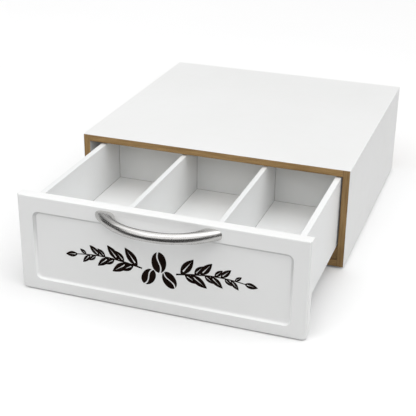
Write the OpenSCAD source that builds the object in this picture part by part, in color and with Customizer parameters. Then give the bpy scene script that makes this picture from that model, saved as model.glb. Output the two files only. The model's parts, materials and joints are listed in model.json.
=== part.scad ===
// Coffee pod drawer: an open-fronted board casing with one drawer,
// shown with the drawer pulled part of the way out.
// X is across the front, +Y runs from the drawer front to the back, +Z is up.
// The origin is the middle of the whole footprint, at the level it stands on.

/* [Casing] */
// Outside width of the casing
casing_w = 340; // [330:1:360]
// Outside depth of the casing
casing_d = 335; // [320:1:350]
// Outside height of the casing, without its pads
casing_h = 126; // [122:1:140]
// Thickness of the casing boards
board_t = 9; // [8:0.5:10]
// Thickness of the back panel
back_t = 3; // [2.5:0.5:4]
// Width of the rebate that takes the back panel
rebate_w = 5; // [4:0.5:6]
// Height of the felt pads
pad_h = 2.5; // [1.5:0.5:4]
// Diameter of the felt pads
pad_d = 20; // [14:1:24]

/* [Drawer box] */
// How far the drawer stands open
rest_open = 159; // [140:1:165]
// Thickness of the drawer front
front_t = 13; // [12.5:0.5:16]
// How much narrower the front is than the casing
front_trim = 4; // [1:0.5:6]
// Height of the drawer front's lower edge above the table
front_lift = 1; // [0.8:0.1:2]
// Gap between the drawer's upper edges and the casing's top board
top_clear = 1.5; // [1:0.1:2.5]
// Inside length of the drawer, from front to back
box_len = 198.5; // [190:0.5:205]
// Thickness of the drawer's sides and back
side_t = 7; // [6:0.5:8]
// Thickness of the two dividers
divider_t = 6; // [5:0.5:7]
// Thickness of the drawer floor
floor_t = 4; // [3:0.5:5]
// Height of the floor's upper face above the table
floor_z = 58; // [54:0.5:62]
// Height of the sides' lower edges above the table
side_z = 27.5; // [25:0.5:30]
// Gap between the drawer's left side and the casing
left_gap = 14.5; // [12:0.5:15]
// Gap between the drawer's right side and the casing
right_gap = 2; // [1:0.1:2.5]
// Width of the left compartment
bay_left = 101; // [94:0.5:104]
// Width of the right compartment
bay_right = 82; // [80:0.5:90]

/* [Drawer front panel] */
// Width of the frame left at each side of the sunk panel
stile_w = 18; // [14:0.5:22]
// Height of the frame above the sunk panel
top_rail = 18.5; // [18:0.5:24]
// Height of the frame below the sunk panel
bottom_rail = 14; // [12:0.5:20]
// Depth of the sunk panel
recess_d = 3.2; // [2:0.1:3.3]
// Corner radius of the sunk panel at the face
recess_r = 7.5; // [7.5:0.5:10]
// Radius of the front's two lower corners
corner_r = 5; // [3:0.5:7]
// Rounding of the front's outer edges
edge_r = 1.5; // [1:0.1:2]

/* [Handle] */
// Distance between the two handle screws
handle_spacing = 128; // [96:1:130]
// How far the handle stands out from the front
handle_out = 33; // [30:0.5:36]
// Thickness of the bar in its middle, front to back
bar_d = 10; // [9:0.1:11]
// Height of the bar in its middle
bar_h = 12; // [10:0.1:13]
// Length of each foot along the front
foot_l = 23; // [20:0.5:24]
// Height of each foot
foot_h = 13; // [11:0.1:14]
// Distance of the bar below the front's upper edge
handle_drop = 10; // [9:0.5:12]

/* [Ornament] */
// Thickness of the film ornament
film_t = 0.2; // [0.2:0.05:0.4]
// Half the width of the whole ornament
orn_w = 112; // [100:1:120]

/* [Runners] */
// Width of the two runner battens
runner_w = 12; // [10:0.5:12]
// Running clearance under the drawer's sides
run_clear = 0.3; // [0.3:0.05:0.5]
// Set-back of the battens from the casing's front edge
runner_in = 1; // [1:1:20]
// Length of the battens
runner_len = 300; // [280:1:300]
// Set-back of the guide strip from the casing's front edge
guide_in = 12; // [10:1:20]
// Height of the guide strip above the table
guide_top = 60; // [50:1:70]
// Length of the drawer stop, front to back
stop_d = 13; // [10:0.5:14]

/* [Hidden] */
$fn = 64;

// colours
paint = [0.93, 0.93, 0.925];
fibre = [0.56, 0.44, 0.28];
steel = [0.72, 0.72, 0.70];
ink = [0.09, 0.045, 0.03];
felt = [0.30, 0.29, 0.28];
beech = [0.78, 0.64, 0.44];

// casing levels and planes
hw = casing_w / 2;             // half the casing's width
in_x = hw - board_t;           // inner wall
z0 = pad_h;                    // casing's lower face
z1 = pad_h + board_t;          // casing floor's upper face
z3 = pad_h + casing_h;         // casing's upper face
z2 = z3 - board_t;             // underside of the top board

// drawer planes at rest
fw = (casing_w - front_trim) / 2;   // half the front's width
fr = -rest_open;                    // rear face of the front
ff = fr - front_t;                  // front face of the front
ft = z2 - top_clear;                // upper edge of the front
fb = front_lift;                    // lower edge of the front
bt = ft - 0.2;                      // upper edges of the box
by = fr + box_len;                  // inner face of the box's back
bo = by + side_t;                   // outer face of the box's back
xl = -in_x + left_gap;              // left side's outer face
xr = in_x - right_gap;              // right side's outer face
xli = xl + side_t;
xri = xr - side_t;
d1 = xli + bay_left;                // left divider's left face
d2 = xri - bay_right - divider_t;   // right divider's left face

// handle
hz = ft - handle_drop;
hl = handle_spacing / 2 + 8.5;      // half the handle's length
bow_r = (hl * hl + handle_out * handle_out) / (2 * handle_out);
bow_a = asin(hl / bow_r);           // half the angle of the outer line
bow_x = hl - foot_l;                // inner ends of the feet
bow_in = handle_out - bar_d;        // room behind the bar
// blind screw hole: its depth follows the outer line over the screw
bore_x = handle_spacing / 2 + 2;
bore_l = handle_out - bow_r + sqrt(bow_r * bow_r - bore_x * bore_x) - 1.2;

// middle of the whole footprint, front of handle to back of casing
shift_y = -(casing_d + ff - handle_out) / 2;

// dowels, pins and screws
dowel_r = 2.5;
dowel_ys = [40, casing_d / 2, casing_d - 40];
fdowel_r = 2;
fdowel_zs = [44, 92];
brad_r = 0.6;
fit = 0.02;
screw_r = 1.75;
m4_r = 1.97;

// a board between two opposite corners
module board(a, b) {
    translate(a) cube([b[0] - a[0], b[1] - a[1], b[2] - a[2]]);
}

// everything is placed from the casing's front edge, then centred
module place() { translate([0, shift_y, 0]) children(); }

// ---- casing fixings ----

// wooden dowels between the sides and the top and bottom boards
module dowel_set(grow = 0) {
    for (s = [-1, 1], y = dowel_ys, z = [z0 + board_t / 2, z2 + board_t / 2])
        translate([s * (in_x + 6 + grow), y, z]) rotate([0, -s * 90, 0])
            cylinder(r = dowel_r + grow, h = 18 + 2 * grow);
}

// small flat-headed pins around the back panel
pin_pts = concat(
    [for (s = [-1, 1], z = [z0 + 30, z3 - 30]) [s * (hw - 6.5), z]],
    [for (x = [-120, -40, 40, 120], z = [z0 + 6.5, z3 - 6.5]) [x, z]]
);
module back_pin(grow = 0) {
    rotate([90, 0, 0]) {
        cylinder(r = 0.7 + grow, h = 14 + grow);
        cylinder(r = 1.4 + grow, h = 0.6 + grow);
    }
}
module back_pin_set(grow = 0) {
    for (p = pin_pts)
        translate([p[0], casing_d, p[1]]) back_pin(grow);
}

// countersunk screws that come up through the casing's bottom board
screw_pts = [
    [in_x - runner_w / 2, 60], [in_x - runner_w / 2, 260],
    [xl - 0.8 + runner_w / 2, 60], [xl - 0.8 + runner_w / 2, 260],
    [-in_x + (left_gap - 0.8) / 2, 110], [-in_x + (left_gap - 0.8) / 2, 210],
    [-25, 4 + stop_d / 2], [25, 4 + stop_d / 2]
];
module csk_screw(grow = 0) {
    cylinder(r1 = 3.5 + grow, r2 = screw_r + grow, h = 2.4);
    cylinder(r = screw_r + grow, h = 18 + grow);
}
module screw_set(grow = 0) {
    for (p = screw_pts) translate([p[0], p[1], z0]) csk_screw(grow);
}

// ---- drawer fixings ----

module fdowel_set(grow = 0) {
    for (x = [xl + side_t / 2, xr - side_t / 2], z = fdowel_zs)
        translate([x, fr - 7 - grow, z]) rotate([-90, 0, 0])
            cylinder(r = fdowel_r + grow, h = 21 + 2 * grow);
}

// headless brads: sides into the back and the floor, back into the dividers
module brad_set(grow = 0) {
    for (z = [40, 78, 106]) {
        translate([xl, by + side_t / 2, z]) rotate([0, 90, 0])
            cylinder(r = brad_r + grow, h = 18 + grow);
        translate([xr, by + side_t / 2, z]) rotate([0, -90, 0])
            cylinder(r = brad_r + grow, h = 18 + grow);
    }
    for (y = [fr + 38, fr + 98, fr + 158]) {
        translate([xl, y, floor_z - floor_t / 2]) rotate([0, 90, 0])
            cylinder(r = brad_r + grow, h = 18 + grow);
        translate([xr, y, floor_z - floor_t / 2]) rotate([0, -90, 0])
            cylinder(r = brad_r + grow, h = 18 + grow);
    }
    for (x = [d1, d2], z = [74, 102])
        translate([x + divider_t / 2, bo, z]) rotate([90, 0, 0])
            cylinder(r = brad_r + grow, h = 18 + grow);
}

// ---- casing ----

module casing_top() {
    color(paint) place() difference() {
        board([-in_x, 0, z2], [in_x, casing_d, z3]);
        board([-in_x - 1, casing_d - back_t, z2 - 1],
              [in_x + 1, casing_d + 1, z2 + rebate_w]);
        dowel_set(fit);
        back_pin_set(fit);
    }
}

module casing_bottom() {
    color(paint) place() difference() {
        board([-in_x, 0, z0], [in_x, casing_d, z1]);
        board([-in_x - 1, casing_d - back_t, z1 - rebate_w],
              [in_x + 1, casing_d + 1, z1 + 1]);
        dowel_set(fit);
        back_pin_set(fit);
        screw_set(fit);
    }
}

// the side boards run the full height of the casing
module casing_side(s) {
    difference() {
        if (s < 0) board([-hw, 0, z0], [-in_x, casing_d, z3]);
        else board([in_x, 0, z0], [hw, casing_d, z3]);
        if (s < 0) board([-in_x - rebate_w, casing_d - back_t, z1 - rebate_w],
                         [-in_x + 1, casing_d + 1, z2 + rebate_w]);
        else board([in_x - 1, casing_d - back_t, z1 - rebate_w],
                   [in_x + rebate_w, casing_d + 1, z2 + rebate_w]);
        dowel_set(fit);
        back_pin_set(fit);
    }
}
module casing_left_side() { color(paint) place() casing_side(-1); }
module casing_right_side() { color(paint) place() casing_side(1); }

module casing_back() {
    e = rebate_w - 0.3;
    color(fibre) place() difference() {
        board([-in_x - e, casing_d - back_t, z1 - e],
              [in_x + e, casing_d, z2 + e]);
        back_pin_set(fit);
    }
}

module casing_dowels() { color(beech) place() dowel_set(); }
module back_panel_pins() { color(steel) place() back_pin_set(); }

module felt_pads() {
    color(felt) place()
        for (x = [-148, 148], y = [22, casing_d - 22])
            translate([x, y, 0]) cylinder(d = pad_d, h = pad_h);
}

// ---- runners, guide and stop ----

module runner_at(x) {
    difference() {
        board([x, runner_in, z1], [x + runner_w, runner_in + runner_len, side_z - run_clear]);
        screw_set(fit);
    }
}
module runner_left() { color(fibre) place() runner_at(xl - 0.8); }
module runner_right() { color(fibre) place() runner_at(in_x - runner_w); }

module guide_strip() {
    color(fibre) place() difference() {
        board([-in_x, guide_in, z1], [xl - 0.8, guide_in + runner_len, guide_top]);
        screw_set(fit);
    }
}

// a block the drawer's back comes up against when it is pulled out
module drawer_stop() {
    color(beech) place() difference() {
        board([-40, 4, z1], [40, 4 + stop_d, side_z + 8.5]);
        screw_set(fit);
    }
}

module batten_screws() {
    color(steel) place()
        for (p = screw_pts) translate([p[0], p[1], z0]) difference() {
            csk_screw();
            for (a = [0, 90]) rotate([0, 0, a])
                translate([-1.9, -0.45, -1]) cube([3.8, 0.9, 2.3]);
        }
}

// ---- drawer front ----

// outline of the front, drawn in X and Z, its edges drawn in by g
module front_outline(g) {
    r = corner_r - g;
    w = fw - g;
    b = fb + g;
    t = ft - g;
    union() {
        translate([-w, b + r]) square([2 * w, t - b - r]);
        translate([-w + r, b]) square([2 * (w - r), r + 1]);
        for (s = [-1, 1]) translate([s * (w - r), b + r]) circle(r = r);
    }
}

// upright slab with rounded front edges
module front_slab() {
    y1 = ff + edge_r;
    translate([0, fr, 0]) rotate([90, 0, 0])
        linear_extrude(front_t - edge_r) front_outline(0);
    translate([0, y1, 0]) rotate([90, 0, 0])
        linear_extrude(edge_r) front_outline(edge_r);
    // rounding along the straight edges
    translate([-fw + corner_r, y1, fb + edge_r]) rotate([0, 90, 0])
        cylinder(r = edge_r, h = 2 * (fw - corner_r));
    translate([-fw + edge_r, y1, ft - edge_r]) rotate([0, 90, 0])
        cylinder(r = edge_r, h = 2 * (fw - edge_r));
    for (s = [-1, 1]) {
        translate([s * (fw - edge_r), y1, fb + corner_r])
            cylinder(r = edge_r, h = ft - fb - corner_r - edge_r);
        // the two lower corners
        translate([s * (fw - corner_r), y1, fb + corner_r])
            rotate([90, 0, 0]) rotate_extrude()
                translate([corner_r - edge_r, 0]) circle(r = edge_r);
        // the two upper corners
        translate([s * (fw - edge_r), y1, ft - edge_r]) sphere(r = edge_r);
    }
}

// sunk panel: rounded corners and a hollow edge all round, an arc that
// leaves the panel smoothly and meets the face steeply
slope_w = 1.12 * recess_d;
cove_r = (slope_w * slope_w + recess_d * recess_d) / (2 * recess_d);
cove_n = 8; // flats that make up the arc
// points of the arc: distance in from the recess's edge, and depth
cove_pts = concat([for (i = [0:cove_n - 1]) let (t = asin(slope_w / cove_r) * i / cove_n)
    [slope_w - cove_r * sin(t), recess_d - cove_r + cove_r * cos(t)]], [[0, 0]]);
rx = fw - stile_w;
rb = fb + bottom_rail;
rt = ft - top_rail;
module recess_cut() {
    n = recess_r;
    // flat middle parts
    board([-rx + slope_w, ff - 1, rb + n], [rx - slope_w, ff + recess_d, rt - n]);
    board([-rx + n, ff - 1, rb + slope_w], [rx - n, ff + recess_d, rt - slope_w]);
    // hollow edges along the four sides
    for (s = [-1, 1])
        translate([0, 0, rb + n]) linear_extrude(rt - rb - 2 * n)
            polygon(concat([[s * (rx - slope_w - 1), ff + recess_d]],
                [for (c = cove_pts) [s * (rx - c[0]), ff + c[1]]],
                [[s * rx, ff - 1], [s * (rx - slope_w - 1), ff - 1]]));
    translate([-rx + n, 0, 0]) rotate([90, 0, 90]) linear_extrude(2 * (rx - n))
        polygon(concat([[ff + recess_d, rb + slope_w + 1]],
            [for (c = cove_pts) [ff + c[1], rb + c[0]]],
            [[ff - 1, rb], [ff - 1, rb + slope_w + 1]]));
    translate([-rx + n, 0, 0]) rotate([90, 0, 90]) linear_extrude(2 * (rx - n))
        polygon(concat([[ff + recess_d, rt - slope_w - 1]],
            [for (c = cove_pts) [ff + c[1], rt - c[0]]],
            [[ff - 1, rt], [ff - 1, rt - slope_w - 1]]));
    // corners
    for (s = [-1, 1], z = [rb + n, rt - n])
        translate([s * (rx - n), ff, z]) rotate([90, 0, 0])
            rotate_extrude() polygon(concat([[0, -recess_d]],
                [for (c = cove_pts) [n - c[0], -c[1]]], [[n, 1], [0, 1]]));
}

module drawer_front() {
    color(paint) place() difference() {
        front_slab();
        recess_cut();
        fdowel_set(fit);
        for (s = [-1, 1]) translate([s * handle_spacing / 2, fr + 1, hz]) rotate([90, 0, 0]) {
            cylinder(r = 2.2, h = front_t + 2);
            cylinder(r = 4.6, h = 5);
        }
    }
}

// ---- drawer box ----

module drawer_side(x) {
    difference() {
        board([x, fr, side_z], [x + side_t, bo, bt]);
        fdowel_set(fit);
        brad_set(fit);
    }
}
module drawer_left_side() { color(paint) place() drawer_side(xl); }
module drawer_right_side() { color(paint) place() drawer_side(xri); }

module drawer_back() {
    color(paint) place() difference() {
        board([xli, by, side_z], [xri, bo, bt]);
        brad_set(fit);
    }
}

module drawer_floor() {
    color(paint) place() difference() {
        board([xli, fr, floor_z - floor_t], [xri, by, floor_z]);
        brad_set(fit);
    }
}

module divider_at(x) {
    difference() {
        board([x, fr, floor_z], [x + divider_t, by, bt]);
        brad_set(fit);
    }
}
module divider_left() { color(paint) place() divider_at(d1); }
module divider_right() { color(paint) place() divider_at(d2); }

module front_dowels() { color(beech) place() fdowel_set(); }
module drawer_brads() { color(steel) place() brad_set(); }

// ---- handle ----

// Seen from above, the outer line is an arc and the inner line leaves the
// feet steeply and then runs along the bar. u is 0 in the middle, 1 at a foot.
function outer_pt(u) = [bow_r * sin(bow_a * u), handle_out - bow_r + bow_r * cos(bow_a * u)];
function inner_pt(u) = let (v = 1 - u) [
    bow_x * (2.08 * v * v * u + 2.6 * v * u * u + u * u * u),
    bow_in * (v * v * v + 3 * v * v * u + 1.55 * v * u * u)
];

// fills out the corners of an oval when e is below 1
function full(v, e) = sign(v) * pow(abs(v), e);

// oval sections between the two lines, squarer towards the feet
module bow_shell() {
    n = 20; // sections on each side of the middle
    m = 28; // points round a section
    pts = [
        for (i = [-n:n], j = [0:m - 1])
            let (
                u = abs(i) / n,
                e = 2 / (2 + 0.9 * u * u),
                a = outer_pt(u),
                b = inner_pt(u),
                h = (bar_h + (foot_h - bar_h) * u * u * (3 - 2 * u)) / 2,
                p = (a + b) / 2 + (a - b) / 2 * full(cos(360 * j / m), e)
            )
            [sign(i) * p[0], ff - p[1], hz + h * full(sin(360 * j / m), e)]
    ];
    walls = [
        for (i = [0:2 * n - 1], j = [0:m - 1])
            let (k = (j + 1) % m, a = i * m, b = a + m)
            each [[a + j, a + k, b + k], [a + j, b + k, b + j]]
    ];
    polyhedron(pts, concat(walls, [
        [for (j = [0:m - 1]) m - 1 - j],
        [for (j = [0:m - 1]) 2 * n * m + j]
    ]));
}

// a bowed bar with a broad foot at each end, flat against the front
module handle_bar() {
    color(steel) place() difference() {
        bow_shell();
        for (s = [-1, 1]) translate([s * handle_spacing / 2, ff + 1, hz])
            rotate([90, 0, 0]) cylinder(r = 2, h = 1 + bore_l);
    }
}

// pan-headed screws from behind the front, their heads sunk below its face
module handle_screws() {
    color(steel) place()
        for (s = [-1, 1]) translate([s * handle_spacing / 2, fr - 4, hz]) difference() {
            union() {
                rotate([90, 0, 0]) cylinder(r = m4_r, h = front_t - 4 + bore_l - 0.4);
                rotate([-90, 0, 0]) cylinder(r = 4, h = 2);
                translate([0, 2, 0]) rotate([-90, 0, 0]) cylinder(r1 = 4, r2 = 3.1, h = 0.7);
            }
            for (a = [0, 90]) rotate([0, a, 0])
                translate([-2.2, 1, -0.5]) cube([4.4, 3, 1]);
        }
}

// ---- ornament: coffee beans between two leafy sprigs ----

// a pointed leaf of length l and half width w, with its vein cut out
module leaf(l, w) {
    n = 18;
    difference() {
        polygon(concat(
            [for (i = [0:n]) [l * i / n, w * pow(sin(180 * i / n), 0.85) * (1.12 - 0.35 * i / n)]],
            [for (i = [n - 1:-1:1]) [l * i / n, -w * pow(sin(180 * i / n), 0.85) * (1.12 - 0.35 * i / n)]]
        ));
        polygon([[0.18 * l, 0.035 * l], [0.86 * l, 0], [0.18 * l, -0.035 * l]]);
    }
}

// a coffee bean: an oval parted by a waved crease
module bean(a, b) {
    n = 40;
    m = 20;
    difference() {
        polygon([for (i = [0:n - 1]) [a * cos(360 * i / n), b * sin(360 * i / n)]]);
        polygon(concat(
            [for (i = [0:m]) let (u = -1.1 + 2.2 * i / m) [a * u, b * (0.26 * sin(150 * u) + 0.10)]],
            [for (i = [m:-1:0]) let (u = -1.1 + 2.2 * i / m) [a * u, b * (0.26 * sin(150 * u) - 0.10)]]
        ));
    }
}

// height of the stem's middle line at distance x from the centre
function stem_y(x) = 5.5 * sin(x * 1.9 - 40) - 2;
function stem_a(x) = atan(5.5 * 1.9 * PI / 180 * cos(x * 1.9 - 40));

module sprig() {
    x0 = 20;
    x1 = orn_w - 14;
    n = 40;
    polygon(concat(
        [for (i = [0:n]) let (x = x0 + (x1 - x0) * i / n) [x, stem_y(x) + 0.95 - 0.5 * i / n]],
        [for (i = [n:-1:0]) let (x = x0 + (x1 - x0) * i / n) [x, stem_y(x) - 0.95 + 0.5 * i / n]]
    ));
    // leaves in turn above and below the stem, smaller towards the tip
    for (i = [0:5]) {
        x = x0 + 5 + i * (x1 - x0 - 10) / 6;
        s = i % 2 == 0 ? 1 : -1;
        k = 1 - i * 0.09;
        translate([x, stem_y(x)]) rotate(stem_a(x) + s * 44)
            translate([0.6, 0]) leaf(25 * k, 5.6 * k);
        translate([x + 4.5, stem_y(x + 4.5)]) rotate(stem_a(x) - s * 40)
            translate([0.6, 0]) leaf(17 * k, 4.2 * k);
    }
    translate([x1 - 0.6, stem_y(x1)]) rotate(stem_a(x1)) leaf(15, 3.6);
}

module ornament_2d() {
    translate([0, 8.5]) rotate(90) bean(12.5, 8.6);
    for (s = [-1, 1]) translate([s * 12.2, -11]) rotate(s * 32 + 90) bean(10.8, 7.6);
    sprig();
    mirror([1, 0]) sprig();
}

module front_ornament() {
    color(ink) place() translate([0, ff + recess_d, (rb + rt) / 2 - 4])
        rotate([90, 0, 0]) linear_extrude(film_t) ornament_2d();
}

casing_top();
casing_bottom();
casing_left_side();
casing_right_side();
casing_back();
casing_dowels();
back_panel_pins();
felt_pads();
runner_left();
runner_right();
guide_strip();
drawer_stop();
batten_screws();
drawer_front();
drawer_left_side();
drawer_right_side();
drawer_back();
drawer_floor();
divider_left();
divider_right();
front_dowels();
drawer_brads();
handle_bar();
handle_screws();
front_ornament();
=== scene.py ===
import json
import math

import bpy
from mathutils import Matrix, Vector

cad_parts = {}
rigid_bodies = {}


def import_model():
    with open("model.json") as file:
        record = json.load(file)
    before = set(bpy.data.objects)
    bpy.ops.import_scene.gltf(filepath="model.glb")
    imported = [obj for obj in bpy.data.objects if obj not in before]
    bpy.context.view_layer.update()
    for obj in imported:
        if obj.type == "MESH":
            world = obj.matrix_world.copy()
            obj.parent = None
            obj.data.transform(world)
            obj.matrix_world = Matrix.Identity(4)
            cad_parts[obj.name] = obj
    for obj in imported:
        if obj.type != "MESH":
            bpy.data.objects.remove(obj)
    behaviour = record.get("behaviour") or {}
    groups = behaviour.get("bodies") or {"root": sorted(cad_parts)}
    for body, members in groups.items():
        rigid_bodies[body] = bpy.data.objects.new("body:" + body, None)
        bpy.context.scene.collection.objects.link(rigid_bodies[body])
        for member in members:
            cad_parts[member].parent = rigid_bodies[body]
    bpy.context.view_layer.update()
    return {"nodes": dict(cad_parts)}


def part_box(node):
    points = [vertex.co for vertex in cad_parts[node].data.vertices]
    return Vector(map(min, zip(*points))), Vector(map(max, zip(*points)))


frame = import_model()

NODE = frame["nodes"]

# ---------------------------------------------------------------- planes
# where the boards meet each other, in metres
CASE_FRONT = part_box("casing_top")[0][1]
CASE_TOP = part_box("casing_top")[1][2]
IN_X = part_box("casing_top")[1][0]
OUT_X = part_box("casing_right_side")[1][0]
FRONT_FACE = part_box("drawer_front")[0][1]
FRONT_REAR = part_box("drawer_front")[1][1]
BACK_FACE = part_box("drawer_back")[0][1]
BOX_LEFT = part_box("drawer_back")[0][0]
BOX_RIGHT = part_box("drawer_back")[1][0]
FLOOR_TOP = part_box("drawer_floor")[1][2]

# the bow of the handle, seen from above: its outer line is an arc
BAR = 0.010
low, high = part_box("handle_bar")
BOW_HALF = (high[0] - low[0]) / 2
BOW_OUT = high[1] - low[1]
BOW_OUTER = (BOW_HALF ** 2 + BOW_OUT ** 2) / (2 * BOW_OUT)
BOW_R = BOW_OUTER - BAR / 2
BOW_CENTRE = (0.0, low[1] + BOW_OUTER, (low[2] + high[2]) / 2)


# ---------------------------------------------------------------- node helpers
class Nodes:
    """A small hand for writing shader trees."""

    def __init__(self, owner):
        owner.use_nodes = True
        self.tree = owner.node_tree
        self.tree.nodes.clear()
        self.step = 0

    def add(self, kind, **props):
        node = self.tree.nodes.new(kind)
        for key, value in props.items():
            setattr(node, key, value)
        node.location = (170 * (self.step % 12), -260 * (self.step // 12))
        self.step += 1
        return node

    def wire(self, source, socket):
        if isinstance(source, bpy.types.NodeSocket):
            self.tree.links.new(source, socket)
        elif isinstance(source, (tuple, list)) and len(source) == 3 and socket.type == "RGBA":
            socket.default_value = (*source, 1.0)
        else:
            socket.default_value = source

    def math(self, op, a, b=None, c=None, clamp=False):
        node = self.add("ShaderNodeMath", operation=op, use_clamp=clamp)
        for i, v in enumerate((a, b, c)):
            if v is not None:
                self.wire(v, node.inputs[i])
        return node.outputs[0]

    def vector(self, op, a, b=None, scale=None):
        node = self.add("ShaderNodeVectorMath", operation=op)
        self.wire(a, node.inputs[0])
        if b is not None:
            self.wire(b, node.inputs[1])
        if scale is not None:
            self.wire(scale, node.inputs["Scale"])
        return node.outputs["Value" if op in ("LENGTH", "DOT_PRODUCT", "DISTANCE") else "Vector"]

    def split(self, v):
        node = self.add("ShaderNodeSeparateXYZ")
        self.wire(v, node.inputs[0])
        return node.outputs[0], node.outputs[1], node.outputs[2]

    def join(self, x, y, z):
        node = self.add("ShaderNodeCombineXYZ")
        for v, s in zip((x, y, z), node.inputs):
            self.wire(v, s)
        return node.outputs[0]

    def stretch(self, v, scale=(1, 1, 1), move=(0, 0, 0)):
        node = self.add("ShaderNodeMapping")
        self.wire(v, node.inputs["Vector"])
        node.inputs["Scale"].default_value = scale
        node.inputs["Location"].default_value = move
        return node.outputs[0]

    def noise(self, v, scale, detail=3.0, rough=0.55, bend=0.0):
        node = self.add("ShaderNodeTexNoise")
        self.wire(v, node.inputs["Vector"])
        node.inputs["Scale"].default_value = scale
        node.inputs["Detail"].default_value = detail
        node.inputs["Roughness"].default_value = rough
        node.inputs["Distortion"].default_value = bend
        return node.outputs[0]

    def cells(self, v, scale, feature="F1", out="Distance", random=1.0):
        node = self.add("ShaderNodeTexVoronoi", feature=feature)
        self.wire(v, node.inputs["Vector"])
        node.inputs["Scale"].default_value = scale
        node.inputs["Randomness"].default_value = random
        return node.outputs[out]

    def remap(self, v, a, b, c=0.0, d=1.0, smooth=True):
        node = self.add("ShaderNodeMapRange", interpolation_type="SMOOTHSTEP" if smooth else "LINEAR")
        self.wire(v, node.inputs["Value"])
        node.inputs["From Min"].default_value = a
        node.inputs["From Max"].default_value = b
        node.inputs["To Min"].default_value = c
        node.inputs["To Max"].default_value = d
        return node.outputs[0]

    def blend(self, amount, a, b, mode="MIX"):
        node = self.add("ShaderNodeMix", data_type="RGBA", blend_type=mode)
        self.wire(amount, node.inputs[0])
        self.wire(a, node.inputs[6])
        self.wire(b, node.inputs[7])
        return node.outputs[2]

    def level(self, amount, a, b):
        node = self.add("ShaderNodeMix", data_type="FLOAT")
        self.wire(amount, node.inputs[0])
        self.wire(a, node.inputs[2])
        self.wire(b, node.inputs[3])
        return node.outputs[0]

    def bump(self, height, distance, strength=1.0, normal=None):
        node = self.add("ShaderNodeBump")
        node.inputs["Strength"].default_value = strength
        node.inputs["Distance"].default_value = distance
        self.wire(height, node.inputs["Height"])
        if normal is not None:
            self.wire(normal, node.inputs["Normal"])
        return node.outputs[0]

    def place(self):
        return self.add("ShaderNodeTexCoord").outputs["Object"]

    def facing(self):
        return self.add("ShaderNodeNewGeometry").outputs["Normal"]

    def shader(self, **values):
        node = self.add("ShaderNodeBsdfPrincipled")
        for key, value in values.items():
            self.wire(value, node.inputs[key.replace("_", " ")])
        out = self.add("ShaderNodeOutputMaterial")
        self.tree.links.new(node.outputs[0], out.inputs[0])
        return node


def material(name):
    m = bpy.data.materials.new(name)
    return m, Nodes(m)


def edge_gap(n, p, low, high):
    """Distance to the nearest arris of a board, for a point on its surface."""
    centre = [(a + b) / 2 for a, b in zip(low, high)]
    half = [(b - a) / 2 for a, b in zip(low, high)]
    q = n.vector("ABSOLUTE", n.vector("SUBTRACT", p, centre))
    x, y, z = n.split(n.vector("SUBTRACT", half, q))
    least = n.math("MINIMUM", n.math("MINIMUM", x, y), z)
    most = n.math("MAXIMUM", n.math("MAXIMUM", x, y), z)
    total = n.math("ADD", n.math("ADD", x, y), z)
    return n.math("SUBTRACT", n.math("SUBTRACT", total, least), most)


# ---------------------------------------------------------------- materials
PAINT = (0.797, 0.80, 0.797)


def fibreboard_edge(n, p, along, low, high, shade=1.0):
    """Bare cut edge of a fibreboard: fine fibres along the board, denser and darker skins."""
    x, y, z = n.split(p)
    run, across = (x, z) if along == "x" else (z, x)
    a, b = (low[2], high[2]) if along == "x" else (low[0], high[0])
    flow = n.join(n.math("MULTIPLY", run, 34.0), n.math("MULTIPLY", y, 300.0), n.math("MULTIPLY", across, 950.0))
    fibres = n.noise(flow, 1.0, 5.0, 0.62, 0.15)
    wide = n.noise(n.join(n.math("MULTIPLY", run, 16.0), y, n.math("MULTIPLY", across, 260.0)), 1.0, 3.0, 0.5)
    fine = n.noise(p, 1500.0, 2.0, 0.6)
    tone = n.math("ADD", n.math("MULTIPLY", fibres, 0.62), n.math("MULTIPLY", wide, 0.38))
    # shade scales the bare edge's colour; the right side's edge gets 0.84, a painted shade
    dark, pale = [tuple(shade * c for c in tone_) for tone_ in ((0.238, 0.136, 0.046), (0.435, 0.277, 0.113))]
    colour = n.blend(n.remap(tone, 0.33, 0.67), dark, pale)
    colour = n.blend(n.remap(fine, 0.40, 0.70, 0.0, 0.35), colour, (0.20, 0.112, 0.045))
    skin = n.math("SUBTRACT", (b - a) / 2, n.math("ABSOLUTE", n.math("SUBTRACT", across, (a + b) / 2)))
    skin = n.math("ADD", skin, n.math("MULTIPLY", n.math("SUBTRACT", fibres, 0.5), 0.0011))
    colour = n.blend(n.remap(skin, 0.0002, 0.0013, 0.62, 0.0), colour, (0.135, 0.075, 0.030))
    rise = n.math("ADD", n.math("MULTIPLY", fibres, 0.7), n.math("MULTIPLY", fine, 0.3))
    return colour, rise


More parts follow.
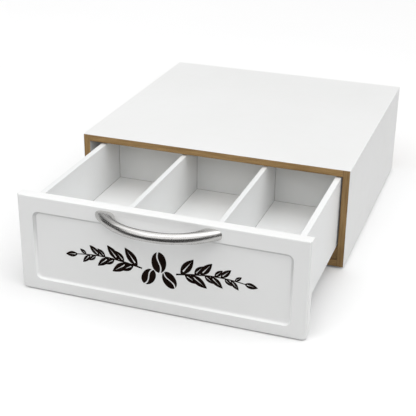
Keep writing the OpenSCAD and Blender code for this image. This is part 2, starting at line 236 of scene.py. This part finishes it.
def paint(name, low, high, seed=0.0, bare=None, raw=None, joints=(), tint=PAINT, shade=1.0, cove_painted_light=None):
    """Satin white lacquer on board, thinner and a little warmer along its arrises; a fine dark line is left in each
    joint, and the face that lies in the plane z = raw is bare board. On the drawer front, shade is painted into the
    upper cove of the sunk panel and light into the lower cove."""
    m, n = material(name)
    p = n.place()
    moved = n.stretch(p, move=(seed, seed * 0.7, -seed))
    cloud = n.noise(moved, 7.0, 4.0, 0.5)
    film = n.noise(moved, 46.0, 4.0, 0.6)
    peel = n.noise(moved, 430.0, 2.0, 0.5)
    grit = n.noise(moved, 1400.0, 1.0, 0.5)
    tone = n.blend(n.remap(cloud, 0.32, 0.70, 0.0, 0.55), tint, tuple(c * k for c, k in zip(tint, (0.968, 0.968, 0.962))))
    tone = n.blend(n.remap(film, 0.52, 0.78, 0.0, 0.30), tone, tuple(c * k for c, k in zip(tint, (0.965, 0.960, 0.945))))
    speck = n.cells(moved, 260.0)
    speck = n.math("MULTIPLY", n.remap(speck, 0.10, 0.045), n.remap(n.noise(moved, 60.0, 1.0), 0.62, 0.72))
    tone = n.blend(n.math("MULTIPLY", speck, 0.10), tone, (0.42, 0.40, 0.36))
    gap = edge_gap(n, p, low, high)
    ragged = n.math("ADD", gap, n.math("MULTIPLY", n.math("SUBTRACT", film, 0.5), 0.0016))
    worn = n.remap(ragged, 0.0009, 0.0001, 0.0, 1.0)
    patchy = n.remap(n.noise(moved, 19.0, 3.0, 0.6), 0.50, 0.68)
    tone = n.blend(n.math("MULTIPLY", n.math("MULTIPLY", worn, patchy), 0.10), tone, (0.60, 0.55, 0.47))
    rough = n.math("ADD", n.remap(film, 0.3, 0.7, 0.36, 0.46, smooth=False), n.math("MULTIPLY", worn, 0.06))
    rise = n.math("ADD", n.math("MULTIPLY", peel, 0.75), n.math("MULTIPLY", grit, 0.25))
    normal = n.bump(cloud, 0.0016, 0.10, n.bump(rise, 0.00006, 0.55))
    axes = n.split(p)
    for (axis, value), (face, at) in joints:
        off = n.math("ABSOLUTE", n.math("SUBTRACT", axes[axis], value))
        off = n.math("ADD", off, n.math("MULTIPLY", n.math("SUBTRACT", film, 0.5), 0.00025))
        here = n.math("LESS_THAN", n.math("ABSOLUTE", n.math("SUBTRACT", axes[face], at)), 0.0001)
        tone = n.blend(n.math("MULTIPLY", here, n.remap(off, 0.00045, 0.00015, 0.0, 0.62)), tone, (0.17, 0.155, 0.13))
    if cove_painted_light is not None:
        # painted shade and light in the sunk panel's cove: the upper cove is painted darker (x0.75) as shade, the
        # lower cove lighter (x1.08) as light
        face, depth = cove_painted_light
        into = n.math("SUBTRACT", axes[1], face)
        x, y, z = n.split(n.vector("ABSOLUTE", n.vector("SUBTRACT", p, [(a + b) / 2 for a, b in zip(low, high)])))
        within = n.math("MULTIPLY", n.math("LESS_THAN", x, (high[0] - low[0]) / 2 - 0.010), n.math("LESS_THAN", z, (high[2] - low[2]) / 2 - 0.010))
        within = n.math("MULTIPLY", within, n.remap(into, 0.00004, 0.0003))
        upper = n.remap(axes[2], (low[2] + high[2]) / 2 - 0.03, (low[2] + high[2]) / 2 + 0.03)
        cove_painted_shade = n.math("MULTIPLY", n.math("MULTIPLY", within, upper), n.remap(into, depth - 0.00001, depth - 0.00012))
        cove_painted_highlight = n.math("MULTIPLY", n.math("MULTIPLY", within, n.math("SUBTRACT", 1.0, upper)), n.remap(into, depth - 0.0001, depth - 0.0012))
        tone = n.blend(cove_painted_shade, tone, tuple(c * 0.75 for c in tint))
        tone = n.blend(cove_painted_highlight, tone, tuple(c * 1.08 for c in tint))
    if raw is not None:
        mottled = n.noise(p, 60.0, 5.0, 0.65)
        fluff = n.noise(n.stretch(p, scale=(260.0, 900.0, 900.0)), 1.0, 3.0, 0.6)
        face = n.blend(n.remap(mottled, 0.3, 0.7), (0.40, 0.285, 0.165), (0.47, 0.345, 0.21))
        face = n.blend(n.remap(fluff, 0.5, 0.75, 0.0, 0.4), face, (0.31, 0.20, 0.105))
        inside = n.math("LESS_THAN", n.math("ABSOLUTE", n.math("SUBTRACT", axes[2], raw)), 0.00006)
        tone = n.blend(inside, tone, face)
        rough = n.level(inside, rough, 0.75)
    if bare:
        x, y, z = n.split(p)
        colour, fibre = fibreboard_edge(n, p, bare, low, high, shade)
        cut = n.remap(y, CASE_FRONT + 0.00009, CASE_FRONT + 0.00005)
        if raw is not None:
            # the rounded arris between the bare edge and the bare face has no paint either
            arris = n.math("MULTIPLY", n.math("LESS_THAN", n.math("ABSOLUTE", n.math("SUBTRACT", axes[2], raw)), 0.0008), n.math("LESS_THAN", y, CASE_FRONT + 0.0012))
            cut = n.math("MAXIMUM", cut, arris)
        tone = n.blend(cut, tone, colour)
        rough = n.level(cut, rough, 0.78)
        rough_face = n.bump(fibre, 0.00022, 0.9)
        normal = n.vector("NORMALIZE", n.blend(cut, normal, rough_face))
    n.shader(Base_Color=tone, Roughness=rough, Normal=normal, IOR=1.47)
    return m


def beech(name, along, seed):
    """Planed beech: straight fine grain with short darker flecks."""
    m, n = material(name)
    p = n.stretch(n.place(), move=(seed, seed * 1.3, seed * 0.4))
    x, y, z = n.split(p)
    order = {"x": (x, y, z), "y": (y, x, z), "z": (z, x, y)}[along]
    grain = n.noise(n.join(n.math("MULTIPLY", order[0], 9.0), n.math("MULTIPLY", order[1], 260.0), n.math("MULTIPLY", order[2], 260.0)), 1.0, 4.0, 0.6, 0.4)
    rings = n.noise(n.join(n.math("MULTIPLY", order[0], 2.2), n.math("MULTIPLY", order[1], 70.0), n.math("MULTIPLY", order[2], 70.0)), 1.0, 3.0, 0.5, 0.6)
    fleck = n.cells(n.join(n.math("MULTIPLY", order[0], 170.0), n.math("MULTIPLY", order[1], 900.0), n.math("MULTIPLY", order[2], 900.0)), 1.0)
    colour = n.blend(n.remap(rings, 0.32, 0.68), (0.66, 0.47, 0.28), (0.52, 0.34, 0.18))
    colour = n.blend(n.remap(grain, 0.45, 0.75, 0.0, 0.5), colour, (0.40, 0.25, 0.13))
    colour = n.blend(n.remap(fleck, 0.22, 0.08, 0.0, 0.55), colour, (0.30, 0.17, 0.08))
    n.shader(Base_Color=colour, Roughness=n.remap(grain, 0.3, 0.7, 0.5, 0.62), Normal=n.bump(n.math("SUBTRACT", grain, n.remap(fleck, 0.22, 0.08, 0.0, 0.4)), 0.00015, 0.6))
    return m


def raw_board(name, seed):
    """Strips sawn from bare fibreboard: fine fibres, a little darker where the saw went."""
    m, n = material(name)
    p = n.stretch(n.place(), move=(seed, 0.6 * seed, 1.4 * seed))
    mottled = n.noise(p, 70.0, 5.0, 0.62)
    fibres = n.noise(n.stretch(p, scale=(900.0, 160.0, 900.0)), 1.0, 4.0, 0.62, 0.3)
    saw = n.noise(n.stretch(p, scale=(60.0, 1400.0, 60.0)), 1.0, 2.0, 0.5)
    fine = n.noise(p, 1500.0, 2.0, 0.6)
    colour = n.blend(n.remap(n.math("ADD", n.math("MULTIPLY", fibres, 0.6), n.math("MULTIPLY", mottled, 0.4)), 0.33, 0.67), (0.21, 0.12, 0.042), (0.375, 0.238, 0.098))
    colour = n.blend(n.remap(saw, 0.52, 0.72, 0.0, 0.3), colour, (0.19, 0.105, 0.042))
    colour = n.blend(n.remap(fine, 0.42, 0.70, 0.0, 0.4), colour, (0.17, 0.095, 0.038))
    rise = n.math("ADD", n.math("MULTIPLY", fibres, 0.6), n.math("MULTIPLY", fine, 0.4))
    n.shader(Base_Color=colour, Roughness=n.remap(fine, 0.3, 0.7, 0.72, 0.86, smooth=False), Normal=n.bump(rise, 0.0002, 0.8))
    return m


def hardboard(name):
    """Thin brown hardboard: smooth face with short criss-cross fibres."""
    m, n = material(name)
    p = n.place()
    mottled = n.noise(p, 38.0, 5.0, 0.6)
    a = n.noise(n.stretch(p, scale=(900.0, 200.0, 150.0)), 1.0, 3.0, 0.6, 0.8)
    b = n.noise(n.stretch(p, scale=(150.0, 200.0, 900.0), move=(3.0, 1.0, 2.0)), 1.0, 3.0, 0.6, 0.8)
    fibres = n.math("MAXIMUM", a, b)
    colour = n.blend(n.remap(mottled, 0.3, 0.7), (0.30, 0.175, 0.075), (0.385, 0.235, 0.108))
    colour = n.blend(n.remap(fibres, 0.56, 0.74, 0.0, 0.55), colour, (0.47, 0.31, 0.16))
    colour = n.blend(n.remap(n.noise(p, 700.0, 2.0), 0.62, 0.76, 0.0, 0.5), colour, (0.16, 0.09, 0.04))
    n.shader(Base_Color=colour, Roughness=n.remap(mottled, 0.3, 0.7, 0.48, 0.62), Normal=n.bump(fibres, 0.0001, 0.6))
    return m


def brushed_bar(name):
    """Satin steel: fine brush lines run along the bow, over a soft cast surface."""
    m, n = material(name)
    p = n.place()
    x, y, z = n.split(n.vector("SUBTRACT", p, BOW_CENTRE))
    r = n.math("SQRT", n.math("ADD", n.math("MULTIPLY", x, x), n.math("MULTIPLY", y, y)))
    along = n.math("MULTIPLY", n.math("ARCTAN2", x, n.math("MULTIPLY", y, -1.0)), BOW_R)
    round_ = n.math("MULTIPLY", n.math("ARCTAN2", z, n.math("SUBTRACT", r, BOW_R)), BAR / 2)
    lines = n.noise(n.join(n.math("MULTIPLY", along, 70.0), n.math("MULTIPLY", round_, 3800.0), 0.0), 1.0, 5.0, 0.7)
    broad = n.noise(n.join(n.math("MULTIPLY", along, 30.0), n.math("MULTIPLY", round_, 900.0), 2.0), 1.0, 3.0, 0.5)
    cloud = n.noise(p, 45.0, 3.0, 0.5)
    colour = n.blend(n.remap(lines, 0.3, 0.7), (0.585, 0.577, 0.563), (0.65, 0.643, 0.632))
    colour = n.blend(n.remap(cloud, 0.45, 0.75, 0.0, 0.3), colour, (0.553, 0.544, 0.53))
    rough = n.math("ADD", n.remap(broad, 0.3, 0.7, 0.20, 0.25, smooth=False), n.remap(lines, 0.3, 0.7, -0.015, 0.02, smooth=False))
    tangent = n.vector("NORMALIZE", n.join(n.math("MULTIPLY", y, -1.0), x, 0.0))
    normal = n.bump(n.math("ADD", n.math("MULTIPLY", lines, 0.6), n.math("MULTIPLY", broad, 0.4)), 0.000012, 0.35)
    n.shader(Base_Color=colour, Metallic=1.0, Roughness=rough, Normal=normal, Tangent=tangent, Anisotropic=0.4)
    return m


def zinc(name):
    """Zinc-plated steel: faint crystals and blue-grey patches."""
    m, n = material(name)
    p = n.place()
    patch = n.noise(p, 300.0, 4.0, 0.6)
    grain = n.cells(p, 2400.0)
    colour = n.blend(n.remap(patch, 0.35, 0.65), (0.62, 0.62, 0.60), (0.50, 0.52, 0.54))
    colour = n.blend(n.remap(grain, 0.2, 0.6, 0.0, 0.3), colour, (0.72, 0.72, 0.70))
    n.shader(Base_Color=colour, Metallic=1.0, Roughness=n.remap(patch, 0.3, 0.7, 0.28, 0.42), Normal=n.bump(grain, 0.00002, 0.4))
    return m


def filled_brad(name, left, right, back):
    """Brads set flush and painted over: steel inside, lacquer on the end that shows."""
    m, n = material(name)
    p = n.place()
    x, y, z = n.split(p)
    patch = n.noise(p, 500.0, 3.0, 0.6)
    end = n.math("MAXIMUM", n.math("LESS_THAN", x, left + 0.0002), n.math("GREATER_THAN", x, right - 0.0002))
    end = n.math("MAXIMUM", end, n.math("GREATER_THAN", y, back - 0.0002))
    steel = n.blend(n.remap(patch, 0.35, 0.65), (0.55, 0.55, 0.54), (0.44, 0.45, 0.46))
    white = n.blend(n.remap(patch, 0.3, 0.7), (0.79, 0.79, 0.785), (0.76, 0.757, 0.745))
    n.shader(Base_Color=n.blend(end, steel, white), Metallic=n.math("SUBTRACT", 1.0, end), Roughness=n.remap(patch, 0.3, 0.7, 0.38, 0.48), Normal=n.bump(patch, 0.00003, 0.5))
    return m


def felt_pad(name):
    """Pressed grey felt."""
    m, n = material(name)
    p = n.place()
    a = n.noise(n.stretch(p, scale=(2200.0, 500.0, 900.0)), 1.0, 3.0, 0.7, 1.2)
    b = n.noise(n.stretch(p, scale=(500.0, 2200.0, 900.0), move=(5.0, 2.0, 1.0)), 1.0, 3.0, 0.7, 1.2)
    fuzz = n.math("MAXIMUM", a, b)
    colour = n.blend(n.remap(fuzz, 0.42, 0.72), (0.085, 0.08, 0.078), (0.20, 0.19, 0.182))
    n.shader(Base_Color=colour, Roughness=n.remap(fuzz, 0.3, 0.7, 0.95, 0.85), Normal=n.bump(fuzz, 0.0004, 0.9), Sheen_Weight=0.35)
    return m


def dark_film(name):
    """Near-black brown film with a faint orange peel and a satin face."""
    m, n = material(name)
    p = n.place()
    cloud = n.noise(p, 30.0, 4.0, 0.55)
    peel = n.noise(p, 700.0, 2.0, 0.5)
    wear = n.noise(p, 160.0, 5.0, 0.65)
    colour = n.blend(n.remap(cloud, 0.35, 0.65), (0.0062, 0.0026, 0.0016), (0.0100, 0.0046, 0.0030))
    colour = n.blend(n.remap(wear, 0.62, 0.80, 0.0, 0.25), colour, (0.022, 0.013, 0.010))
    n.shader(Base_Color=colour, Roughness=n.remap(wear, 0.3, 0.7, 0.48, 0.60), Normal=n.bump(peel, 0.00003, 0.5), Specular_IOR_Level=0.03)
    return m


# ---------------------------------------------------------------- softened arrises
def near_plane(tree, position, axis, value):
    split = tree.nodes.new("ShaderNodeSeparateXYZ")
    tree.links.new(position, split.inputs[0])
    test = tree.nodes.new("FunctionNodeCompare")
    test.data_type, test.operation = "FLOAT", "EQUAL"
    tree.links.new(split.outputs[axis], test.inputs["A"])
    test.inputs["B"].default_value = value
    test.inputs["Epsilon"].default_value = 2e-5
    return test.outputs[0]


def both(tree, a, b, op="AND"):
    node = tree.nodes.new("FunctionNodeBooleanMath")
    node.operation = op
    tree.links.new(a, node.inputs[0])
    if b is not None:
        tree.links.new(b, node.inputs[1])
    return node.outputs[0]


def less_than_all(tree, ends, planes):
    """True for an edge that lies in every one of these planes."""
    found = None
    for axis, value in planes:
        here = both(tree, near_plane(tree, ends.outputs["Position 1"], axis, value), near_plane(tree, ends.outputs["Position 2"], axis, value))
        found = here if found is None else both(tree, found, here)
    return found


def arris_tree(name, skip, wide, fine, least, hair):
    """Marks the sharp edges of a board for the bevel: full width on the wide ones, a share of it on the
    rest, and a hairline on edges that lie in a plane of skip, where the board meets its neighbour."""
    g = bpy.data.node_groups.new(name, "GeometryNodeTree")
    g.interface.new_socket(name="Geometry", in_out="INPUT", socket_type="NodeSocketGeometry")
    g.interface.new_socket(name="Geometry", in_out="OUTPUT", socket_type="NodeSocketGeometry")
    start = g.nodes.new("NodeGroupInput")
    end = g.nodes.new("NodeGroupOutput")
    ends = g.nodes.new("GeometryNodeInputMeshEdgeVertices")
    angle = g.nodes.new("GeometryNodeInputMeshEdgeAngle")
    sharp = g.nodes.new("FunctionNodeCompare")
    sharp.data_type, sharp.operation = "FLOAT", "GREATER_THAN"
    g.links.new(angle.outputs[0], sharp.inputs["A"])
    sharp.inputs["B"].default_value = math.radians(30)
    span = g.nodes.new("ShaderNodeVectorMath")
    span.operation = "DISTANCE"
    g.links.new(ends.outputs["Position 1"], span.inputs[0])
    g.links.new(ends.outputs["Position 2"], span.inputs[1])
    long_ = g.nodes.new("FunctionNodeCompare")
    long_.data_type, long_.operation = "FLOAT", "GREATER_THAN"
    g.links.new(span.outputs["Value"], long_.inputs["A"])
    long_.inputs["B"].default_value = least
    keep = both(g, sharp.outputs[0], long_.outputs[0])
    meets = None
    for plane in skip:
        here = less_than_all(g, ends, [plane])
        meets = here if meets is None else both(g, meets, here, "OR")
    broad = None
    for planes in wide:
        here = less_than_all(g, ends, planes)
        broad = here if broad is None else both(g, broad, here, "OR")
    store = g.nodes.new("GeometryNodeStoreNamedAttribute")
    store.data_type, store.domain = "FLOAT", "EDGE"
    store.inputs["Name"].default_value = "bevel_weight_edge"
    g.links.new(start.outputs[0], store.inputs["Geometry"])
    share = g.nodes.new("GeometryNodeSwitch")
    share.input_type = "FLOAT"
    share.inputs["False"].default_value = fine
    share.inputs["True"].default_value = 1.0
    if broad is None:
        share.inputs["Switch"].default_value = False
    else:
        g.links.new(broad, share.inputs["Switch"])
    joint = g.nodes.new("GeometryNodeSwitch")
    joint.input_type = "FLOAT"
    joint.inputs["True"].default_value = hair
    g.links.new(share.outputs[0], joint.inputs["False"])
    if meets is None:
        joint.inputs["Switch"].default_value = False
    else:
        g.links.new(meets, joint.inputs["Switch"])
    weight = g.nodes.new("GeometryNodeSwitch")
    weight.input_type = "FLOAT"
    g.links.new(keep, weight.inputs["Switch"])
    weight.inputs["False"].default_value = 0.0
    g.links.new(joint.outputs[0], weight.inputs["True"])
    g.links.new(weight.outputs[0], store.inputs["Value"])
    faces = g.nodes.new("GeometryNodeSetShadeSmooth")
    g.links.new(store.outputs[0], faces.inputs["Geometry"])
    crisp = g.nodes.new("GeometryNodeSetShadeSmooth")
    crisp.domain = "EDGE"
    g.links.new(faces.outputs[0], crisp.inputs["Geometry"])
    g.links.new(both(g, sharp.outputs[0], keep, "NIMPLY"), crisp.inputs["Selection"])
    crisp.inputs["Shade Smooth"].default_value = False
    g.links.new(crisp.outputs[0], end.inputs[0])
    return g


def soften(name, width, skip=(), segments=3, wide=(), fine=1.0, least=0.0022):
    o = NODE[name]
    weld = o.modifiers.new("weld", "WELD")
    weld.merge_threshold = 1e-5
    flat = o.modifiers.new("flat", "DECIMATE")
    flat.decimate_type = "DISSOLVE"
    flat.angle_limit = math.radians(0.4)
    mark = o.modifiers.new("arrises", "NODES")
    mark.node_group = arris_tree(name + "_arrises", skip, wide, fine, least, 0.00004 / width)
    bevel = o.modifiers.new("soft", "BEVEL")
    bevel.limit_method = "WEIGHT"
    bevel.width = width
    bevel.segments = segments
    bevel.use_clamp_overlap = False
    normals = o.modifiers.new("normals", "WEIGHTED_NORMAL")
    normals.mode = "FACE_AREA"
    normals.weight = 100
    normals.keep_sharp = True


def smooth_shell(name):
    """Shades a faceted cast shape smooth, except where its flat ends meet the wall."""
    o = NODE[name]
    weld = o.modifiers.new("weld", "WELD")
    weld.merge_threshold = 1e-5
    g = bpy.data.node_groups.new(name + "_shade", "GeometryNodeTree")
    g.interface.new_socket(name="Geometry", in_out="INPUT", socket_type="NodeSocketGeometry")
    g.interface.new_socket(name="Geometry", in_out="OUTPUT", socket_type="NodeSocketGeometry")
    start = g.nodes.new("NodeGroupInput")
    end = g.nodes.new("NodeGroupOutput")
    faces = g.nodes.new("GeometryNodeSetShadeSmooth")
    g.links.new(start.outputs[0], faces.inputs["Geometry"])
    angle = g.nodes.new("GeometryNodeInputMeshEdgeAngle")
    sharp = g.nodes.new("FunctionNodeCompare")
    sharp.data_type, sharp.operation = "FLOAT", "GREATER_THAN"
    g.links.new(angle.outputs[0], sharp.inputs["A"])
    sharp.inputs["B"].default_value = math.radians(35)
    crisp = g.nodes.new("GeometryNodeSetShadeSmooth")
    crisp.domain = "EDGE"
    g.links.new(faces.outputs[0], crisp.inputs["Geometry"])
    g.links.new(sharp.outputs[0], crisp.inputs["Selection"])
    crisp.inputs["Shade Smooth"].default_value = False
    g.links.new(crisp.outputs[0], end.inputs[0])
    shade = o.modifiers.new("shade", "NODES")
    shade.node_group = g
    normals = o.modifiers.new("normals", "WEIGHTED_NORMAL")
    normals.mode = "CORNER_ANGLE"
    normals.keep_sharp = True


def wear(name, m):
    o = NODE[name]
    o.data.materials.clear()
    o.data.materials.append(m)


FRONT_TOP = [(1, CASE_FRONT), (2, CASE_TOP)]
boards = {
    # node: (bare edge runs along, seed, softening, planes where it meets a neighbour, wide arrises, share on the rest, shortest edge)
    "casing_top": ("x", 0.0, 0.0010, [(0, -IN_X), (0, IN_X)], [FRONT_TOP], 0.35, 0.0022),
    "casing_bottom": ("x", 0.0, 0.0005, [(0, -IN_X), (0, IN_X)], [], 1.0, 0.0022),
    "casing_left_side": ("z", 0.0, 0.0010, [(0, -IN_X)], [FRONT_TOP, [(0, -OUT_X), (1, CASE_FRONT)], [(0, -OUT_X), (2, CASE_TOP)]], 0.35, 0.0022),
    "casing_right_side": ("z", 0.0, 0.0010, [(0, IN_X)], [FRONT_TOP, [(0, OUT_X), (1, CASE_FRONT)], [(0, OUT_X), (2, CASE_TOP)]], 0.35, 0.0022),
    "drawer_front": (None, 3.1, 0.0006, [], [], 1.0, 0.0),
    "drawer_left_side": (None, 4.7, 0.0007, [(1, FRONT_REAR), (2, 0.0275)], [], 1.0, 0.0022),
    "drawer_right_side": (None, 5.9, 0.0007, [(1, FRONT_REAR)], [], 1.0, 0.0022),
    "drawer_back": (None, 7.3, 0.0007, [(0, BOX_LEFT), (0, BOX_RIGHT)], [], 1.0, 0.0022),
    "drawer_floor": (None, 8.2, 0.0003, [(0, BOX_LEFT), (0, BOX_RIGHT), (1, FRONT_REAR), (1, BACK_FACE)], [], 1.0, 0.0022),
    "divider_left": (None, 9.6, 0.0007, [(1, FRONT_REAR), (1, BACK_FACE), (2, FLOOR_TOP)], [], 1.0, 0.0022),
    "divider_right": (None, 11.2, 0.0007, [(1, FRONT_REAR), (1, BACK_FACE), (2, FLOOR_TOP)], [], 1.0, 0.0022),
}
SIDE_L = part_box("drawer_left_side")[1][0]
SIDE_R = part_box("drawer_right_side")[0][0]
DIV_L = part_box("divider_left")
DIV_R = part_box("divider_right")
REAR, LEVEL = (1, BACK_FACE), (2, FLOOR_TOP)
UPRIGHTS = [(0, SIDE_L), (0, SIDE_R), (0, DIV_L[0][0]), (0, DIV_L[1][0]), (0, DIV_R[0][0]), (0, DIV_R[1][0])]
# fine dark lines in the joints of the box: (line, face it lies on)
joints = {
    "drawer_left_side": [(REAR, (0, SIDE_L)), (LEVEL, (0, SIDE_L))],
    "drawer_right_side": [(REAR, (0, SIDE_R)), (LEVEL, (0, SIDE_R))],
    "drawer_back": [(line, REAR) for line in UPRIGHTS + [LEVEL]],
    "drawer_floor": [(line, LEVEL) for line in UPRIGHTS + [REAR]],
    "divider_left": [(REAR, (0, DIV_L[i][0])) for i in (0, 1)] + [(LEVEL, (0, DIV_L[i][0])) for i in (0, 1)],
    "divider_right": [(REAR, (0, DIV_R[i][0])) for i in (0, 1)] + [(LEVEL, (0, DIV_R[i][0])) for i in (0, 1)],
}
# face and depth of the sunk panel's cove, where painted shade and light go into the front's lacquer
COVE_PAINTED_LIGHT = (FRONT_FACE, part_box("front_ornament")[1][1] - FRONT_FACE)
# painted light and shade: the white lacquer is made darker on the back and the dividers and lighter on the front, the
# floor and the right side, besides a slightly cooler white for the box
painted_light_tones = {
    "drawer_front": (0.841, 0.845, 0.842),
    "drawer_floor": (0.862, 0.872, 0.874),
    "drawer_left_side": (0.792, 0.80, 0.802),
    "drawer_right_side": (0.842, 0.85, 0.85),
    "drawer_back": (0.742, 0.748, 0.742),
    "divider_left": (0.776, 0.784, 0.784),
    "divider_right": (0.776, 0.784, 0.784),
}
for name, (bare, seed, width, skip, wide, fine, least) in boards.items():
    low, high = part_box(name)
    raw = {"casing_top": low[2], "casing_bottom": high[2]}.get(name)
    # the bare front edge of the right side is painted darker (0.84) than the other bare edges (1.03), as painted shade
    wear(name, paint("paint_" + name, tuple(low), tuple(high), seed, bare, raw, joints.get(name, ()), painted_light_tones.get(name, PAINT), 0.84 if name == "casing_right_side" else 1.03, COVE_PAINTED_LIGHT if name == "drawer_front" else None))
    soften(name, width, skip, 3, wide, fine, least)

wear("casing_back", hardboard("hardboard"))
soften("casing_back", 0.0002)
for i, (name, along) in enumerate((("drawer_stop", "x"), ("casing_dowels", "x"), ("front_dowels", "y"))):
    wear(name, beech("beech_" + name, along, 1.7 * i + 0.3))
for i, name in enumerate(("runner_left", "runner_right", "guide_strip")):
    wear(name, raw_board("raw_" + name, 2.3 * i + 0.4))
for name in ("runner_left", "runner_right", "guide_strip", "drawer_stop"):
    soften(name, 0.0008)
steel = zinc("zinc")
for name in ("back_panel_pins", "batten_screws", "handle_screws"):
    wear(name, steel)
wear("drawer_brads", filled_brad("filled_brad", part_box("drawer_left_side")[0][0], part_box("drawer_right_side")[1][0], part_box("drawer_back")[1][1]))
wear("felt_pads", felt_pad("felt"))
wear("handle_bar", brushed_bar("brushed_bar"))
smooth_shell("handle_bar")
wear("front_ornament", dark_film("dark_film"))


# ---------------------------------------------------------------- studio
def floor_material():
    m, n = material("studio_floor")
    p = n.place()
    cloud = n.noise(p, 2.2, 3.0, 0.5)
    tooth = n.noise(p, 520.0, 2.0, 0.5)
    pale = n.blend(n.remap(cloud, 0.3, 0.7), (0.887, 0.887, 0.887), (0.895, 0.895, 0.895))
    seen = n.add("ShaderNodeLightPath").outputs["Is Camera Ray"]
    colour = n.blend(seen, (0.65, 0.65, 0.65), pale)
    n.shader(Base_Color=colour, Roughness=n.remap(tooth, 0.3, 0.7, 0.62, 0.72), Normal=n.bump(tooth, 0.00004, 0.3), Specular_IOR_Level=0.2)
    return m


mesh = bpy.data.meshes.new("studio_floor")
S = 9.0
K = 24
verts = [(-S + 2 * S * i / K, -S + 2 * S * j / K, 0.0) for j in range(K + 1) for i in range(K + 1)]
faces = [(j * (K + 1) + i, j * (K + 1) + i + 1, (j + 1) * (K + 1) + i + 1, (j + 1) * (K + 1) + i) for j in range(K) for i in range(K)]
mesh.from_pydata(verts, [], faces)
floor = bpy.data.objects.new("studio_floor", mesh)
bpy.context.scene.collection.objects.link(floor)
floor.data.materials.append(floor_material())


def softbox(name, place, aim, size, power, tone=(1.0, 1.0, 1.0)):
    light = bpy.data.lights.new(name, "AREA")
    light.shape = "RECTANGLE"
    light.size, light.size_y = size
    light.energy = power
    light.color = tone
    o = bpy.data.objects.new(name, light)
    bpy.context.scene.collection.objects.link(o)
    o.location = place
    o.rotation_euler = (Vector(aim) - Vector(place)).to_track_quat("-Z", "Y").to_euler()
    o.visible_camera = False
    return o


softbox("key", (-1.5, -1.5, 1.8), (0.0, 0.0, 0.05), (2.6, 2.2), 13.6)
softbox("fill", (0.0, -1.9, 1.9), (0.0, 0.0, 0.05), (2.0, 1.2), 8.0)


def card(name, verts):
    """A card that only reflections see, as a photographer puts one in front of shiny metal."""
    mesh = bpy.data.meshes.new(name)
    mesh.from_pydata(verts, [], [(0, 1, 2, 3)])
    o = bpy.data.objects.new(name, mesh)
    bpy.context.scene.collection.objects.link(o)
    m, n = material(name)
    mesh.materials.append(m)
    o.visible_camera = o.visible_diffuse = o.visible_shadow = o.visible_transmission = o.visible_volume_scatter = False
    return n, n.place()


def black_card(name, verts):
    n, p = card(name, verts)
    n.shader(Base_Color=n.blend(n.noise(p, 3.0), (0.02, 0.02, 0.02), (0.035, 0.033, 0.031)), Roughness=0.8)


def white_card(name, verts, glow, piece):
    """It is linked to the one piece it is for, or it would glare in the casing's flat top."""
    n, p = card(name, verts)
    linked = bpy.data.collections.new(name + "_for_" + piece)
    linked.objects.link(bpy.data.objects[piece])
    bpy.data.objects[name].light_linking.receiver_collection = linked
    n.shader(Base_Color=(0.0, 0.0, 0.0), Roughness=0.8, Emission_Color=n.blend(n.noise(p, 2.0), (1.0, 1.0, 1.0), (0.94, 0.94, 0.94)), Emission_Strength=glow)


black_card("card_low", [(-2.2, -0.346, 0.002), (1.2, -0.346, 0.002), (1.2, -1.6, 0.002), (-2.2, -1.6, 0.002)])
black_card("card_left", [(-2.2, -0.345, 0.002), (-2.2, 0.6, 0.002), (-0.32, 0.6, 0.002), (-0.32, -0.345, 0.002)])
black_card("card_right", [(0.32, -0.345, 0.002), (0.32, 0.6, 0.002), (2.2, 0.6, 0.002), (2.2, -0.345, 0.002)])
white_card("card_front", [(-1.6, -1.6, 0.14), (1.6, -1.6, 0.14), (1.6, -1.6, 0.85), (-1.6, -1.6, 0.85)], 1.2, "handle_bar")

# a white tent: bright overhead and brightest up on the right
world = bpy.data.worlds.new("studio")
bpy.context.scene.world = world
w = Nodes(world)
x, y, z = w.split(w.add("ShaderNodeTexCoord").outputs["Generated"])
side = w.math("MAXIMUM", x, 0.0)
glow = w.math("ADD", w.math("MULTIPLY", w.math("MULTIPLY", z, z), 1.44), w.math("MULTIPLY", w.math("MULTIPLY", side, z), 2.719))
glow = w.math("MULTIPLY", glow, w.math("GREATER_THAN", z, 0.0))
seen = w.add("ShaderNodeLightPath").outputs["Is Camera Ray"]
strength = w.level(seen, glow, 0.97)
background = w.add("ShaderNodeBackground")
background.inputs["Color"].default_value = (1.0, 1.0, 1.0, 1.0)
w.tree.links.new(strength, background.inputs["Strength"])
out = w.add("ShaderNodeOutputWorld")
w.tree.links.new(background.outputs[0], out.inputs[0])

bpy.context.scene.view_settings.view_transform = "Standard"
bpy.context.scene.view_settings.look = "None"

# ---------------------------------------------------------------- camera
az, el, roll = (math.radians(a) for a in (19.274, 24.9348, 0.6921))
back = Vector((math.sin(az) * math.cos(el), -math.cos(az) * math.cos(el), math.sin(el)))
right = (-back).cross(Vector((0, 0, 1))).normalized()
up = right.cross(-back)
r2 = math.cos(roll) * right + math.sin(roll) * up
u2 = -math.sin(roll) * right + math.cos(roll) * up
camera = bpy.data.cameras.new("camera")
camera.sensor_width = 36.0
camera.lens = 84.855
camera.clip_start, camera.clip_end = 0.05, 60.0
eye = bpy.data.objects.new("camera", camera)
bpy.context.scene.collection.objects.link(eye)
turn = Matrix((r2, u2, back)).transposed().to_4x4()
eye.matrix_world = Matrix.Translation((0.358726, -1.100713, 0.563078)) @ turn
bpy.context.scene.camera = eye
